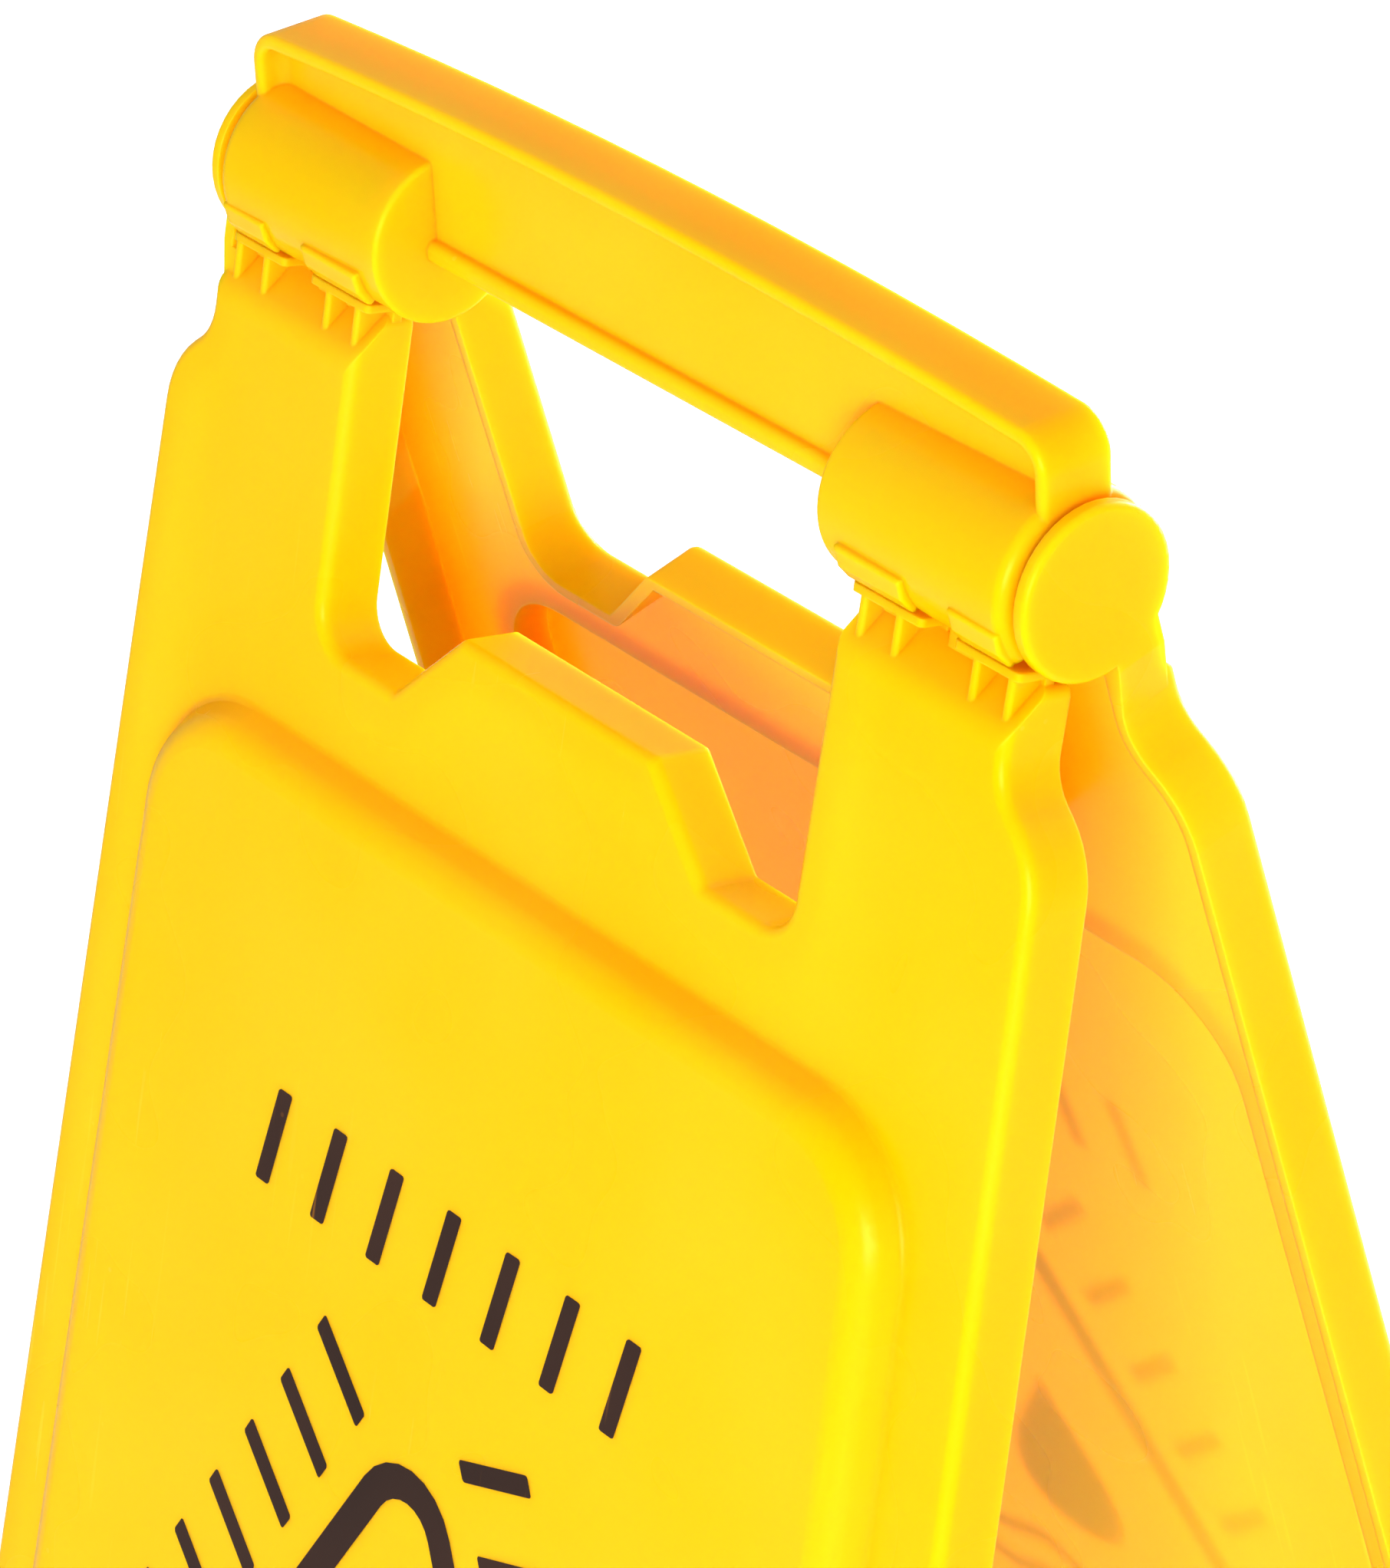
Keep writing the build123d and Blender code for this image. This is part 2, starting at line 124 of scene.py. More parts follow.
class FloorSignPrint(bpy.types.PropertyGroup):
    """Ink printed on the raised panel of each leaf."""
    ink_colour: FloatVectorProperty(
        name="Ink colour", description="Colour of the printed marks",
        subtype="COLOR", size=3, min=0.0, max=1.0, default=(0.020, 0.0085, 0.0055))
    ink_thickness: FloatProperty(
        name="Ink thickness", description="Thickness of the printed film",
        unit="LENGTH", min=0.00002, max=0.0005, default=0.00006)
    dash_height: FloatProperty(
        name="Dash height", description="Height of a row of printed dashes",
        unit="LENGTH", min=0.005, max=0.05, default=0.0200)
    dash_width: FloatProperty(
        name="Dash width", description="Width of one printed dash",
        unit="LENGTH", min=0.001, max=0.02, default=0.0042)
    dash_pitch: FloatProperty(
        name="Dash pitch", description="Spacing of the dashes along their row",
        unit="LENGTH", min=0.005, max=0.05, default=0.0177)
    dashes: IntProperty(
        name="Dashes", description="Number of dashes in a row", min=1, max=15, default=7)
    heading_down: FloatProperty(
        name="Heading place", description="Middle of the heading row below the hinge",
        unit="LENGTH", min=0.1, max=0.5, default=0.1705)
    picture_down: FloatProperty(
        name="Picture place", description="Sharp corner of the picture's frame below the hinge",
        unit="LENGTH", min=0.1, max=0.5, default=0.1987)
    picture_side: FloatProperty(
        name="Picture side", description="Side length of the picture's frame",
        unit="LENGTH", min=0.05, max=0.3, default=0.1800)
    picture_corner: FloatProperty(
        name="Picture corner", description="Corner radius of the picture's frame",
        unit="LENGTH", min=0.001, max=0.05, default=0.0154)
    picture_stroke: FloatProperty(
        name="Picture stroke", description="Line width of the picture's frame",
        unit="LENGTH", min=0.001, max=0.02, default=0.0068)
    row_gap: FloatProperty(
        name="Row gap", description="Picture's frame to the middle of the rows beside it",
        unit="LENGTH", min=0.005, max=0.05, default=0.0177)


class FloorSignStage(bpy.types.PropertyGroup):
    """Floor, studio light and camera."""
    key_power: FloatProperty(
        name="Key light", description="Power of the large soft light in front on the right",
        unit="POWER", min=0.0, max=500.0, default=60.0)
    rear_power: FloatProperty(
        name="Rear light", description="Power of the soft light behind on the left",
        unit="POWER", min=0.0, max=500.0, default=140.0)
    room_light: FloatProperty(
        name="Room light", description="Brightness of the white surroundings",
        min=0.0, max=3.0, default=0.48)
    azimuth: FloatProperty(
        name="Camera azimuth", description="Camera direction, turned from the front to the right",
        subtype="ANGLE", default=math.radians(53.98))
    elevation: FloatProperty(
        name="Camera elevation", description="Camera direction above the horizon",
        subtype="ANGLE", default=math.radians(30.78))
    roll: FloatProperty(
        name="Camera roll", description="Camera turned about its own line of sight",
        subtype="ANGLE", default=math.radians(-3.135))
    position: FloatVectorProperty(
        name="Camera position", description="Camera position from the middle of the hinge line",
        subtype="TRANSLATION", unit="LENGTH", size=3, default=(0.8162, -0.5966, 0.5098))
    lens: FloatProperty(
        name="Focal length", description="Focal length on a sensor 36 mm long",
        min=20.0, max=400.0, default=150.85)
    shift: FloatVectorProperty(
        name="Camera shift", description="Lens shift to the side and up", size=2,
        default=(0.01536, 0.02167))


# ---- places on a leaf ---------------------------------------------------------------------------
def leaf_to_world(points, rear):
    """Turn leaf coordinates (across, down from the hinge, out of the middle plane) into the
    frame: lean the hanging leaf by the opening angle, lift it to the hinge, and turn it half
    round the vertical for the rear leaf."""
    across, down, out = np.asarray(points, float).T
    y = -(out * math.cos(LEAN) + down * math.sin(LEAN))
    z = HINGE_HEIGHT + out * math.sin(LEAN) - down * math.cos(LEAN)
    turn = -1.0 if rear else 1.0
    return np.stack([turn * across, turn * y, z], axis=1)


def surface_out(leaf, down):
    """Distance of the leaf's outer surface from its middle plane, on its middle line, found with
    a ray cast from outside along the leaf's own normal."""
    rear = leaf == "rear_leaf"
    reach = 0.05
    ends = leaf_to_world([(0.0, down, reach), (0.0, down, 0.0)], rear)
    start, aim = Vector(ends[0]), Vector(ends[1] - ends[0]).normalized()
    hit, place = frame["nodes"][leaf].ray_cast(start, aim)[:2]
    if not hit:
        raise RuntimeError(f"no surface of {leaf} was found {down} m below the hinge")
    return reach - (place - start).length


# ---- meshes -------------------------------------------------------------------------------------
def new_piece(name, points, faces, body, material):
    """Mesh object in place, with its body, slot and material."""
    mesh = bpy.data.meshes.new(name)
    mesh.from_pydata(points.tolist(), [], faces)
    mesh.validate()
    piece = bpy.data.objects.new(name, mesh)
    bpy.context.scene.collection.objects.link(piece)
    piece.data.materials.append(material)
    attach(piece, body)


def film(outline, low, high):
    """Thin closed film over a flat outline given as (across, down) points in turn: the outline
    at the low and the high level, a wall of quads between them, and a cap on each."""
    count = len(outline)
    levels = [np.column_stack([outline, np.full(count, level)]) for level in (low, high)]
    step = np.arange(count)
    following = (step + 1) % count
    wall = np.column_stack([step, following, following + count, step + count])
    caps = [step[::-1].tolist(), (step + count).tolist()]
    return np.concatenate(levels), wall.tolist() + caps


def loop_film(outer, inner, low, high):
    """Thin closed film between two flat outlines with the same number of points: bands of
    quads over the top, down the outside, under the bottom and up the inside."""
    count = len(outer)
    rings = [(outer, high), (outer, low), (inner, low), (inner, high)]
    points = [np.column_stack([ring, np.full(count, level)]) for ring, level in rings]
    step = np.arange(count)
    following = (step + 1) % count
    faces = []
    for band in range(len(rings)):
        here, there = band * count, (band + 1) % len(rings) * count
        quads = np.column_stack([step + here, step + there, following + there, following + here])
        faces += quads.tolist()
    return np.concatenate(points), faces


def facing_out(points, faces):
    """The same faces, turned round if the solid they close has a negative volume. Only its sign
    counts, so it is the plain sum of triple products over each face's fan of triangles."""
    volume = 0.0
    for face in faces:
        ring = points[list(face)]
        fan = np.tile(ring[0], (len(ring) - 2, 1))
        volume += np.einsum("ij,ij->", np.cross(ring[1:-1], ring[2:]), fan)
    return faces if volume > 0 else [face[::-1] for face in faces]


# ---- printed marks ------------------------------------------------------------------------------
def ragged(outline, amount, seed):
    """Move each point of an outline away from its middle by a small sum of three sines of the
    way round, as screen-printed edges wander."""
    count = len(outline)
    round_way = np.arange(count) / count * 2 * math.pi
    wander = sum(np.sin(round_way * turns + seed * turns) for turns in (3, 7, 11)) / 3
    middle = outline.mean(axis=0)
    arms = outline - middle
    return middle + arms * (1 + amount * wander / np.linalg.norm(arms, axis=1))[:, None]


def dash_outline(middle, upright, height, width, slant=0.20, corner=0.0007, points=24):
    """Slanted bar with rounded corners: a quarter circle at each corner of a rectangle, the
    whole sheared sideways by the slant, with its long side along the upright direction."""
    quarter = np.linspace(0, math.pi / 2, points // 4)
    corners = [(1, 1), (-1, 1), (-1, -1), (1, -1)]
    parts = []
    for turn, (side, end) in enumerate(corners):
        angle = quarter + turn * math.pi / 2
        x = side * (width / 2 - corner) + corner * np.cos(angle)
        y = end * (height / 2 - corner) + corner * np.sin(angle)
        parts.append(np.column_stack([x + slant * y, y]))
    bar = np.concatenate(parts)
    up = np.asarray(upright, float) / np.linalg.norm(upright)
    along = np.array([-up[1], up[0]])
    return np.asarray(middle) + bar[:, :1] * along + bar[:, 1:] * up


def row_outlines(start, along, upright, look):
    """Outlines of one row of dashes, evenly spaced from the first one's middle."""
    step = np.asarray(along, float) / np.linalg.norm(along) * look.dash_pitch
    outlines = []
    for number in range(look.dashes):
        middle = np.asarray(start) + number * step
        dash = dash_outline(middle, upright, look.dash_height, look.dash_width)
        outlines.append(ragged(dash, RAGGED_EDGE, number + 10 * start[0]))
    return outlines


def triangle_outline(top, side, corner, inset, arc_points=9):
    """Rounded triangle standing on its base, moved inwards by an inset: a third of a turn of
    arc about the middle of each corner's circle."""
    height = side * math.sqrt(3) / 2
    sharp = np.array([top, (top[0] + side / 2, top[1] + height), (top[0] - side / 2, top[1] + height)])
    middle = sharp.mean(axis=0)
    away = sharp - middle
    away /= np.linalg.norm(away, axis=1)[:, None]
    centres = sharp - away * corner / math.sin(HALF_CORNER)
    headings = np.arctan2(away[:, 1], away[:, 0])
    sweep = np.linspace(-math.pi / 3, math.pi / 3, arc_points)
    arcs = [
        centre + (corner - inset) * np.column_stack([np.cos(heading + sweep), np.sin(heading + sweep)])
        for centre, heading in zip(centres, headings)
    ]
    return np.concatenate(arcs)


def drop_outline(tip, height, width, points=48):
    """Drop: its half width is the sine of the way round times a power of the sine of half of it,
    which draws out the tip, and its height is the cosine of the way round."""
    power, fullness = 1.6, 1.3
    way = np.arange(points) / points * 2 * math.pi
    across = tip[0] + width / fullness * np.sin(way) * np.abs(np.sin(way / 2)) ** power
    down = tip[1] + height / 2 * (1 - np.cos(way))
    return np.column_stack([across, down])


def wave_outline(middle, length, swing, stroke, waves=3, points=60):
    """Wavy band: a sine line carried out one way and back, half a stroke either side."""
    along = np.linspace(-length / 2, length / 2, points)
    line = swing * np.cos(along / length * waves * 2 * math.pi)
    over = np.column_stack([middle[0] + along, middle[1] + line - stroke / 2])
    under = np.column_stack([middle[0] + along, middle[1] + line + stroke / 2])
    return np.concatenate([over, under[::-1]])


def print_outlines(look):
    """Closed outlines of every plain mark of the print, and the frame's outer and inner ones."""
    corner = np.array([0.0, look.picture_down])
    half = HALF_CORNER
    left = np.array([-math.sin(half), math.cos(half)])
    right = np.array([math.sin(half), math.cos(half)])
    off_left = np.array([-math.cos(half), -math.sin(half)])
    off_right = np.array([math.cos(half), -math.sin(half)])
    left_start = corner + left * look.dash_height * LEFT_ROW_START + off_left * look.row_gap
    right_start = corner + right * look.dash_height * RIGHT_ROW_START + off_right * look.row_gap
    base = look.picture_down + look.picture_side * math.cos(half)
    row_half = look.dash_pitch * (look.dashes - 1) / 2
    marks = row_outlines((-row_half, look.heading_down), (1, 0), (0, -1), look)
    marks += row_outlines(left_start, left, off_left, look)
    marks += row_outlines(right_start, right, off_right, look)
    marks += row_outlines((-row_half, base + BOTTOM_ROW_DROP * look.dash_height), (1, 0), (0, -1), look)
    marks.append(drop_outline((0.0, look.picture_down + DROP_DOWN), DROP_HEIGHT, DROP_WIDTH))
    for number in range(WAVES):
        middle = (0.0, base - WAVES_UP + WAVE_PITCH * number)
        marks.append(wave_outline(middle, WAVE_LENGTH, WAVE_SWING, WAVE_STROKE))
    outer = triangle_outline(corner, look.picture_side, look.picture_corner, 0.0)
    inner = triangle_outline(corner, look.picture_side, look.picture_corner, look.picture_stroke)
    return marks, (outer, inner)


def print_mesh(leaf, look):
    """Points and faces of a leaf's whole print, as thin films lying on the raised panel."""
    panel = surface_out(leaf, look.picture_down + PANEL_TEST_DOWN)
    low, high = panel - look.ink_thickness / 3, panel + look.ink_thickness
    rear = leaf == "rear_leaf"
    marks, frame_outlines = print_outlines(look)
    clouds, faces, first = [], [], 0
    for outline in marks:
        points, made = film(outline, low, high)
        clouds, faces, first = collect(clouds, faces, first, points, made, rear)
    points, made = loop_film(*frame_outlines, low, high)
    clouds, faces, first = collect(clouds, faces, first, points, made, rear)
    return np.concatenate(clouds), faces


def collect(clouds, faces, first, points, made, rear):
    """Add one closed film, placed on its leaf and facing out, to a growing mesh."""
    placed = leaf_to_world(points, rear)
    turned = facing_out(placed, made)
    faces = faces + [[corner + first for corner in face] for face in turned]
    return clouds + [placed], faces, first + len(placed)


# ---- node building ------------------------------------------------------------------------------
def put(tree, kind, sockets=None, **properties):
    """Add a node with its properties; each named input is set, or linked if it's a socket."""
    made = tree.nodes.new(kind)
    for name, value in properties.items():
        setattr(made, name, value)
    for name, value in (sockets or {}).items():
        if isinstance(value, bpy.types.NodeSocket):
            tree.links.new(value, made.inputs[name])
        else:
            made.inputs[name].default_value = value
    return made


def sum_of(tree, first, second, operation="ADD", clamp=False):
    """Result socket of a Math node over two values or sockets."""
    sockets = {0: first, 1: second}
    return put(tree, "ShaderNodeMath", sockets, operation=operation, use_clamp=clamp).outputs[0]


def spread(tree, value, low, high, to_low=0.0, to_high=1.0):
    """Result socket of a clamped linear map of a value."""
    sockets = {"Value": value, "From Min": low, "From Max": high, "To Min": to_low, "To Max": to_high}
    return put(tree, "ShaderNodeMapRange", sockets, clamp=True).outputs["Result"]


def blend_colour(tree, share, first, second):
    """Colour socket of a Mix node."""
    mix = put(tree, "ShaderNodeMix", data_type="RGBA", blend_type="MIX")
    for place, value in ((0, share), (6, first), (7, second)):
        if isinstance(value, bpy.types.NodeSocket):
            tree.links.new(value, mix.inputs[place])
        else:
            mix.inputs[place].default_value = value
    return mix.outputs[2]


def new_group(name, inputs, outputs):
    """Empty shader node group with its named sockets, and its two end nodes."""
    group = bpy.data.node_groups.new(name, "ShaderNodeTree")
    for socket_name, kind, value in inputs:
        socket = group.interface.new_socket(socket_name, in_out="INPUT", socket_type=kind)
        socket.default_value = value
    for socket_name, kind in outputs:
        group.interface.new_socket(socket_name, in_out="OUTPUT", socket_type=kind)
    return group, group.nodes.new("NodeGroupInput"), group.nodes.new("NodeGroupOutput")


def use_group(tree, group, sockets):
    """A group placed in a material with its own values."""
    made = put(tree, "ShaderNodeGroup", node_tree=group)
    for name, value in sockets.items():
        made.inputs[name].default_value = value
    return made


def grain_group():
    """Moulded unevenness: fine grain and slow waves, as a height and as a tone."""
    group, given, result = new_group(
        "moulded_grain",
        [("Size", "NodeSocketFloat", 0.0012)],
        [("Height", "NodeSocketFloat"), ("Tone", "NodeSocketFloat")])
    place = put(group, "ShaderNodeTexCoord").outputs["Object"]
    fine_scale = sum_of(group, 1.0, given.outputs["Size"], "DIVIDE")
    fine = put(group, "ShaderNodeTexNoise", {"Vector": place, "Scale": fine_scale, "Detail": 2.0})
    slow = put(group, "ShaderNodeTexNoise", {"Vector": place, "Scale": 22.0, "Detail": 1.0})
    waves = sum_of(group, slow.outputs["Fac"], 14.0, "MULTIPLY")
    group.links.new(sum_of(group, fine.outputs["Fac"], waves), result.inputs["Height"])
    group.links.new(slow.outputs["Fac"], result.inputs["Tone"])
    return group


def scuff_group():
    """Fine scratches in two directions and small specks, gathered in patches."""
    group, given, result = new_group(
        "scuffs",
        [("Amount", "NodeSocketFloat", 0.35)],
        [("Mask", "NodeSocketFloat")])
    place = put(group, "ShaderNodeTexCoord").outputs["Object"]
    marks = []
    for turn in (0.5, -0.9):
        sockets = {"Vector": place, "Rotation": (turn, 0.6, turn), "Scale": (620.0, 24.0, 24.0)}
        laid = put(group, "ShaderNodeMapping", sockets).outputs["Vector"]
        streak = put(group, "ShaderNodeTexNoise", {"Vector": laid, "Scale": 1.0, "Detail": 1.0})
        marks.append(spread(group, streak.outputs["Fac"], 0.70, 0.76))
    dots = put(group, "ShaderNodeTexVoronoi", {"Vector": place, "Scale": 85.0})
    marks.append(spread(group, dots.outputs["Distance"], 0.055, 0.035))
    patches = put(group, "ShaderNodeTexNoise", {"Vector": place, "Scale": 9.0, "Detail": 1.0})
    patch = spread(group, patches.outputs["Fac"], 0.52, 0.66)
    most = sum_of(group, sum_of(group, marks[0], marks[1], "MAXIMUM"), marks[2], "MAXIMUM")
    mask = sum_of(group, sum_of(group, most, patch, "MULTIPLY"), given.outputs["Amount"], "MULTIPLY")
    group.links.new(mask, result.inputs["Mask"])
    return group


def form_group():
    """What the form does to the plastic: rounded edges' normal, how near an edge is, and how far into a
    corner the surface lies; the materials paint highlight lines along edges and shade in corners from
    the last two."""
    group, given, result = new_group(
        "form",
        [("Edge Radius", "NodeSocketFloat", 0.0006), ("Corner Reach", "NodeSocketFloat", 0.012)],
        [("Normal", "NodeSocketVector"), ("Edge", "NodeSocketFloat"), ("Depth", "NodeSocketFloat")])
    bevel = put(group, "ShaderNodeBevel", {"Radius": given.outputs["Edge Radius"]}, samples=4)
    flat = put(group, "ShaderNodeNewGeometry").outputs["Normal"]
    straight = put(group, "ShaderNodeVectorMath", operation="DOT_PRODUCT")
    group.links.new(bevel.outputs["Normal"], straight.inputs[0])
    group.links.new(flat, straight.inputs[1])
    edge = spread(group, straight.outputs["Value"], 0.995, 0.90)
    reach = {"Distance": given.outputs["Corner Reach"]}
    open_sky = put(group, "ShaderNodeAmbientOcclusion", reach, samples=6)
    depth = spread(group, open_sky.outputs["AO"], 0.98, 0.35)
    proud = spread(group, depth, 0.25, 0.0)
    group.links.new(bevel.outputs["Normal"], result.inputs["Normal"])
    group.links.new(sum_of(group, edge, proud, "MULTIPLY"), result.inputs["Edge"])
    group.links.new(depth, result.inputs["Depth"])
    return group


GROUPS = {}


def shared_groups():
    """The node groups, built once."""
    if not GROUPS:
        GROUPS.update(grain=grain_group(), scuffs=scuff_group(), form=form_group())
    return GROUPS


def opaque(colour):
    """A colour with full alpha."""
    return (*colour, 1.0)


def grey(level):
    """A neutral colour with full alpha."""
    return (level, level, level, 1.0)


# ---- materials ----------------------------------------------------------------------------------
def moulded_plastic(name, colour, look, edge_radius, roughness, glow):
    """Pigmented polypropylene: a soft sheen, light that spreads inside it, painted shade in a deeper
    colour in corners, painted pale highlight lines along rounded edges, pale scratches, and a faint
    moulded grain."""
    material = bpy.data.materials.new(name)
    material.use_nodes = True
    tree = material.node_tree
    shader = tree.nodes["Principled BSDF"]
    groups = shared_groups()
    grain = use_group(tree, groups["grain"], {"Size": look.grain_size})
    scuffs = use_group(tree, groups["scuffs"], {"Amount": look.scuffs})
    form = use_group(tree, groups["form"], {"Edge Radius": edge_radius})
    # Painted shade: in corners and hollows the plastic is mixed towards the shade colour.
    corner_shade = sum_of(tree, form.outputs["Depth"], 0.7, "MULTIPLY")
    body = blend_colour(tree, corner_shade, opaque(colour), opaque(look.deep_colour))
    drift = spread(tree, grain.outputs["Tone"], 0.3, 0.7, 0.0, 0.10)
    body = blend_colour(tree, drift, body, opaque(look.chalk_colour))
    # Painted highlight: pale lines mixed in along rounded edges, joined with the real pale scratches.
    painted_highlight = sum_of(tree, form.outputs["Edge"], 0.30, "MULTIPLY")
    scuffs_and_highlight = sum_of(tree, painted_highlight, scuffs.outputs["Mask"], "MAXIMUM")
    body = blend_colour(tree, scuffs_and_highlight, body, opaque(look.chalk_colour))
    rough = spread(tree, grain.outputs["Tone"], 0.3, 0.7, roughness - 0.05, roughness + 0.05)
    rough = sum_of(tree, rough, sum_of(tree, scuffs.outputs["Mask"], 0.3, "MULTIPLY"), clamp=True)
    bump = put(tree, "ShaderNodeBump", {
        "Height": grain.outputs["Height"], "Normal": form.outputs["Normal"],
        "Strength": 0.25, "Distance": 0.00004})
    tree.links.new(body, shader.inputs["Base Color"])
    tree.links.new(rough, shader.inputs["Roughness"])
    tree.links.new(bump.outputs["Normal"], shader.inputs["Normal"])
    shader.inputs["Specular IOR Level"].default_value = SHEEN
    shader.inputs["Specular Tint"].default_value = SHEEN_TINT
    shader.inputs["Subsurface Weight"].default_value = glow
    shader.inputs["Subsurface Radius"].default_value = GLOW_RADIUS
    shader.inputs["Subsurface Scale"].default_value = GLOW_SCALE
    return material


def printed_ink(look, print_look):
    """Dark screen ink: nearly matt, a little uneven, thinner in places."""
    material = bpy.data.materials.new("printed_ink")
    material.use_nodes = True
    tree = material.node_tree
    shader = tree.nodes["Principled BSDF"]
    groups = shared_groups()
    grain = use_group(tree, groups["grain"], {"Size": look.grain_size})
    scuffs = use_group(tree, groups["scuffs"], {"Amount": look.scuffs})
    thin = tuple(THIN_INK * part for part in print_look.ink_colour)
    share = spread(tree, grain.outputs["Tone"], 0.35, 0.75, 0.0, 0.35)
    body = blend_colour(tree, share, opaque(print_look.ink_colour), opaque(thin))
    body = blend_colour(tree, scuffs.outputs["Mask"], body, opaque(look.deep_colour))
    bump = put(tree, "ShaderNodeBump", {
        "Height": grain.outputs["Height"], "Strength": 0.3, "Distance": 0.00003})
    rough = spread(tree, grain.outputs["Tone"], 0.3, 0.7, 0.42, 0.55)
    tree.links.new(body, shader.inputs["Base Color"])
    tree.links.new(rough, shader.inputs["Roughness"])
    tree.links.new(bump.outputs["Normal"], shader.inputs["Normal"])
    shader.inputs["Specular IOR Level"].default_value = INK_SHEEN
    return material


def wear_material(node, material):
    """Give a CAD node one material in all its slots."""
    target = frame["nodes"][node]
    if not target.material_slots:
        target.data.materials.append(material)
    for material_slot in target.material_slots:
        material_slot.material = material


# ---- operators ----------------------------------------------------------------------------------
class FLOORSIGN_OT_leaves(bpy.types.Operator):
    """Finish both leaves in moulded plastic"""
    bl_idname = "floorsign.leaves"
    bl_label = "Finish leaves"

    def execute(self, context):
        look = context.scene.floor_sign_plastic
        material = moulded_plastic(
            "leaf_plastic", look.colour, look, edge_radius=0.0006, roughness=look.roughness, glow=0.9)
        for leaf in LEAVES:
            wear_material(leaf, material)
        return {"FINISHED"}


class FLOORSIGN_OT_handle(bpy.types.Operator):
    """Finish the carrying handle in moulded plastic"""
    bl_idname = "floorsign.handle"
    bl_label = "Finish handle"

    def execute(self, context):
        look = context.scene.floor_sign_plastic
        smoother = look.roughness - 0.06
        material = moulded_plastic(
            "handle_plastic", look.colour, look, edge_radius=0.0008, roughness=smoother, glow=0.9)
        wear_material("handle", material)
        return {"FINISHED"}


class FLOORSIGN_OT_pins(bpy.types.Operator):
    """Finish the hinge pins in plain plastic"""
    bl_idname = "floorsign.pins"
    bl_label = "Finish hinge pins"

    def execute(self, context):
        look = context.scene.floor_sign_plastic
        rougher = look.roughness + 0.1
        material = moulded_plastic(
            "pin_plastic", look.pin_colour, look, edge_radius=0.0003, roughness=rougher, glow=0.1)
        for pin in PINS:
            wear_material(pin, material)
        return {"FINISHED"}


class FLOORSIGN_OT_print(bpy.types.Operator):
    """Print the marks on the raised panel of each leaf"""
    bl_idname = "floorsign.print"
    bl_label = "Print marks"

    def execute(self, context):
        look = context.scene.floor_sign_print
        material = printed_ink(context.scene.floor_sign_plastic, look)
        for leaf in LEAVES:
            points, faces = print_mesh(leaf, look)
            new_piece(f"{leaf}_print", points, faces, leaf, material)
        return {"FINISHED"}


class FLOORSIGN_OT_stage(bpy.types.Operator):
    """Set up the floor, the light and the camera"""
    bl_idname = "floorsign.stage"
    bl_label = "Set the stage"

    def execute(self, context):
        look = context.scene.floor_sign_stage
        context.scene.view_settings.view_transform = "Standard"
        make_floor()
        make_room(context.scene, look.room_light)
        make_softbox("key_light", look.key_power, size=0.9, azimuth=43.0, elevation=12.0)
        make_softbox("rear_light", look.rear_power, size=1.6, azimuth=190.0, elevation=2.0)
        make_camera(context.scene, look)
        return {"FINISHED"}


def make_floor():
    """Wide plain pale floor. The camera sees it a little brighter than it lights the sign, so
    that it stays pale and even."""
    half = FLOOR_HALF
    corners = [(-half, -half, 0.0), (half, -half, 0.0), (half, half, 0.0), (-half, half, 0.0)]
    mesh = bpy.data.meshes.new("floor")
    mesh.from_pydata(corners, [], [(0, 1, 2, 3)])
    floor = bpy.data.objects.new("floor", mesh)
    bpy.context.scene.collection.objects.link(floor)
    material = bpy.data.materials.new("pale_floor")
    material.use_nodes = True
    tree = material.node_tree
    shader = tree.nodes["Principled BSDF"]
    seen = put(tree, "ShaderNodeLightPath").outputs["Is Camera Ray"]
    tone = blend_colour(tree, seen, grey(FLOOR_BOUNCE), grey(FLOOR_SEEN))
    even = blend_colour(tree, seen, grey(0.0), grey(FLOOR_GLOW_SEEN))
    tree.links.new(even, shader.inputs["Emission Color"])
    shader.inputs["Emission Strength"].default_value = 1.0
    tree.links.new(tone, shader.inputs["Base Color"])
    shader.inputs["Roughness"].default_value = 0.8
    mesh.materials.append(material)


def make_room(scene, strength):
    """Plain white surroundings, pure white where the camera sees them."""
    world = bpy.data.worlds.new("white_room")
    world.use_nodes = True
    tree = world.node_tree
    background = tree.nodes["Background"]
    background.inputs["Color"].default_value = (1.0, 1.0, 1.0, 1.0)
    seen = put(tree, "ShaderNodeLightPath").outputs["Is Camera Ray"]
    tree.links.new(spread(tree, seen, 0.0, 1.0, strength, ROOM_SEEN), background.inputs["Strength"])
    scene.world = world


def make_softbox(name, power, size, azimuth, elevation):
    """Square soft light in a direction given in degrees, turned to the upper half of the sign."""
    light = bpy.data.lights.new(name, "AREA")
    light.energy = power
    light.size = size
    lamp = bpy.data.objects.new(name, light)
    bpy.context.scene.collection.objects.link(lamp)
    away = direction(math.radians(azimuth), math.radians(elevation))
    lamp.location = away * LAMP_DISTANCE + Vector((0.0, 0.0, LAMP_AIM * HINGE_HEIGHT))
    lamp.rotation_mode = "QUATERNION"
    lamp.rotation_quaternion = (-away).to_track_quat("-Z", "Y")


def direction(azimuth, elevation):
    """Unit vector at an azimuth from the front to the right and an elevation."""
    level = math.cos(elevation)
    return Vector((math.sin(azimuth) * level, -math.cos(azimuth) * level, math.sin(elevation)))


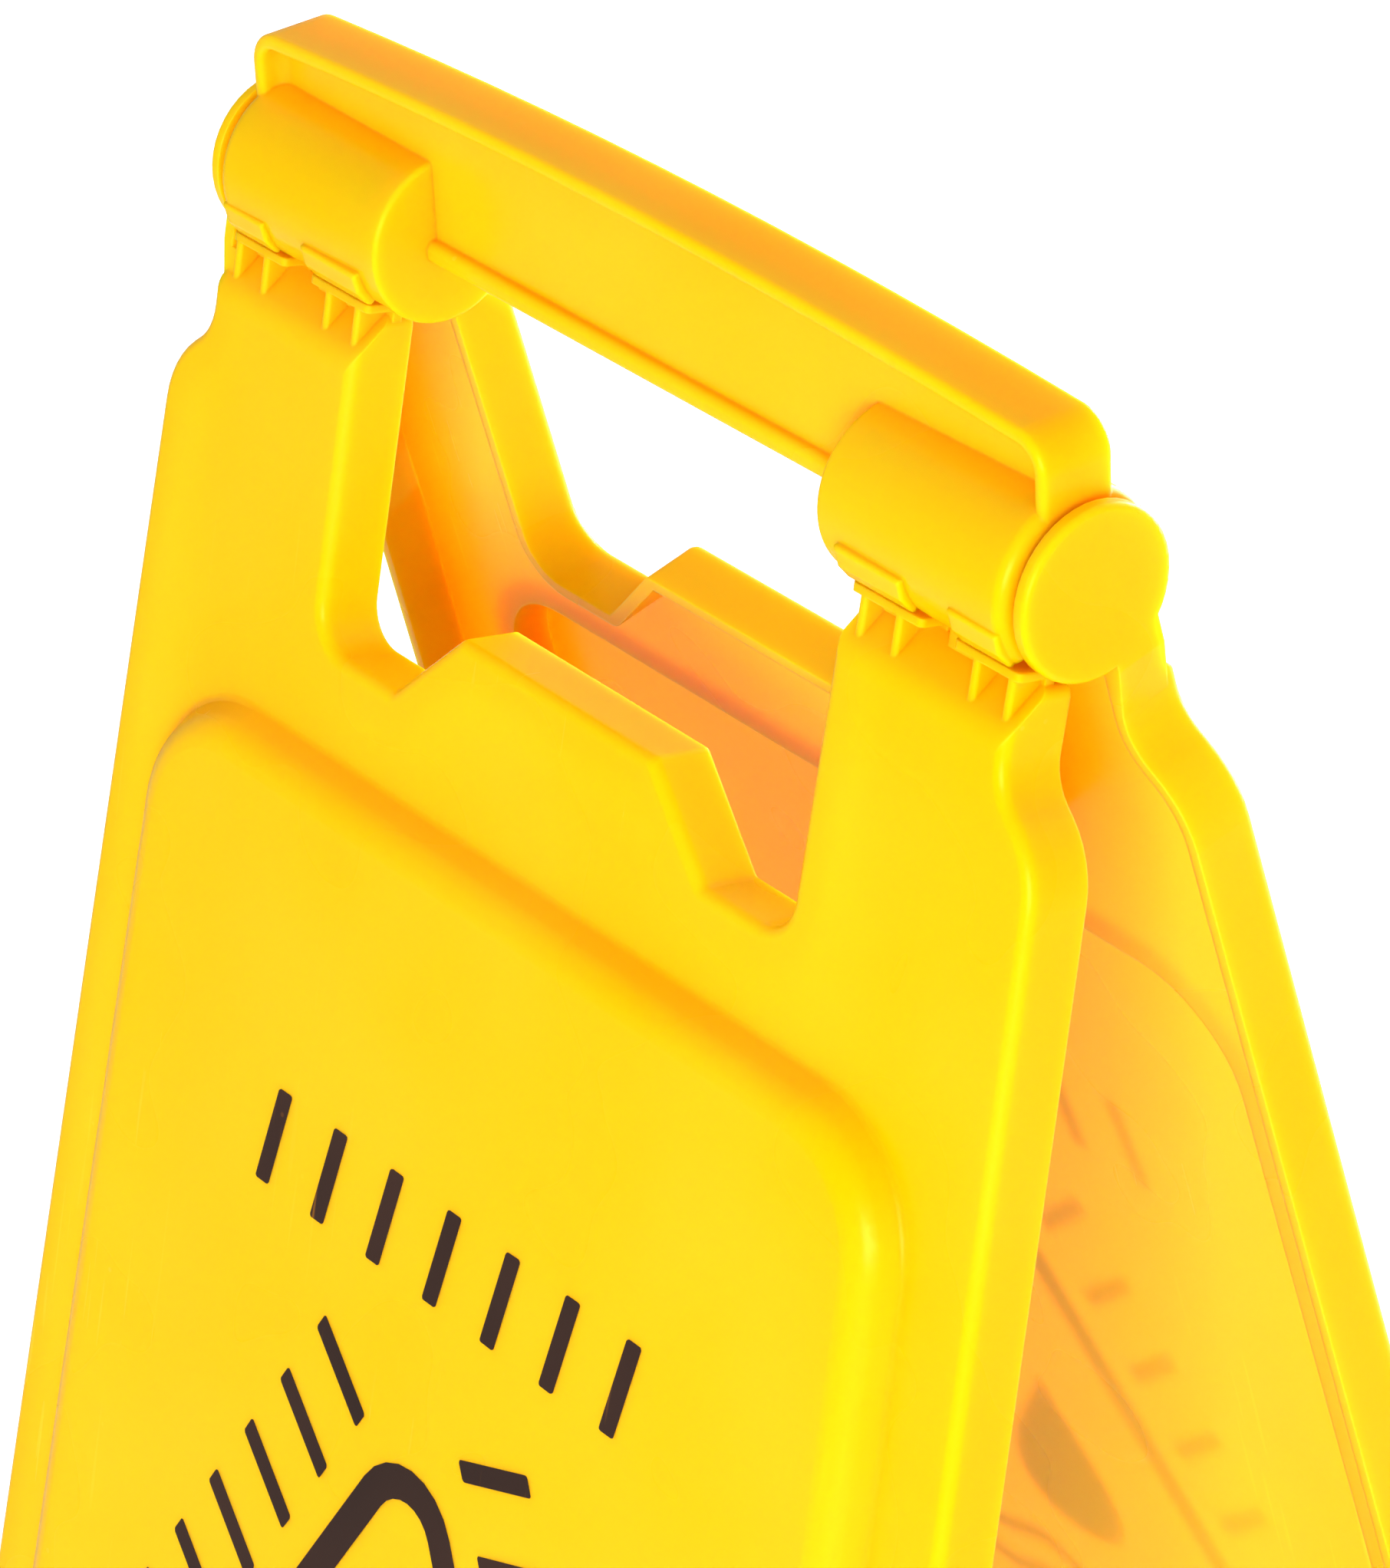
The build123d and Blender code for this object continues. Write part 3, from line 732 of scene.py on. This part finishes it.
def make_camera(scene, look):
    """Long-lens camera beside and above the handle, tipped a little about its line of sight."""
    data = bpy.data.cameras.new("camera")
    data.lens = look.lens
    data.sensor_width = 36.0
    data.shift_x, data.shift_y = look.shift
    data.clip_start, data.clip_end = 0.05, 60.0
    camera = bpy.data.objects.new("camera", data)
    scene.collection.objects.link(camera)
    camera.location = Vector(look.position) + Vector((0.0, 0.0, HINGE_HEIGHT))
    back = direction(look.azimuth, look.elevation)
    camera.rotation_mode = "QUATERNION"
    tip = Quaternion((0.0, 0.0, 1.0), look.roll)
    camera.rotation_quaternion = (-back).to_track_quat("-Z", "Y") @ tip
    scene.camera = camera


# ---- panel and registration ---------------------------------------------------------------------
class FLOORSIGN_PT_panel(bpy.types.Panel):
    """Settings and steps of the floor sign"""
    bl_idname = "FLOORSIGN_PT_panel"
    bl_label = "Floor Sign"
    bl_space_type = "VIEW_3D"
    bl_region_type = "UI"
    bl_category = "Floor Sign"

    def draw(self, context):
        for name, kind in SETTINGS.items():
            box = self.layout.box()
            group = getattr(context.scene, name)
            for setting in kind.bl_rna.properties:
                if setting.identifier in kind.__annotations__:
                    box.prop(group, setting.identifier)
        for step in STEPS:
            self.layout.operator(step.bl_idname)


SETTINGS = {
    "floor_sign_plastic": FloorSignPlastic,
    "floor_sign_print": FloorSignPrint,
    "floor_sign_stage": FloorSignStage,
}
STEPS = (
    FLOORSIGN_OT_leaves,
    FLOORSIGN_OT_handle,
    FLOORSIGN_OT_pins,
    FLOORSIGN_OT_print,
    FLOORSIGN_OT_stage,
)


def register():
    for kind in (*SETTINGS.values(), *STEPS, FLOORSIGN_PT_panel):
        bpy.utils.register_class(kind)
    for name, kind in SETTINGS.items():
        setattr(bpy.types.Scene, name, PointerProperty(type=kind))


def unregister():
    for name in SETTINGS:
        delattr(bpy.types.Scene, name)
    for kind in (FLOORSIGN_PT_panel, *reversed(STEPS), *SETTINGS.values()):
        bpy.utils.unregister_class(kind)


def main():
    register()
    for step in STEPS:
        family, name = step.bl_idname.split(".")
        getattr(getattr(bpy.ops, family), name)()


if __name__ == "__main__":
    main()
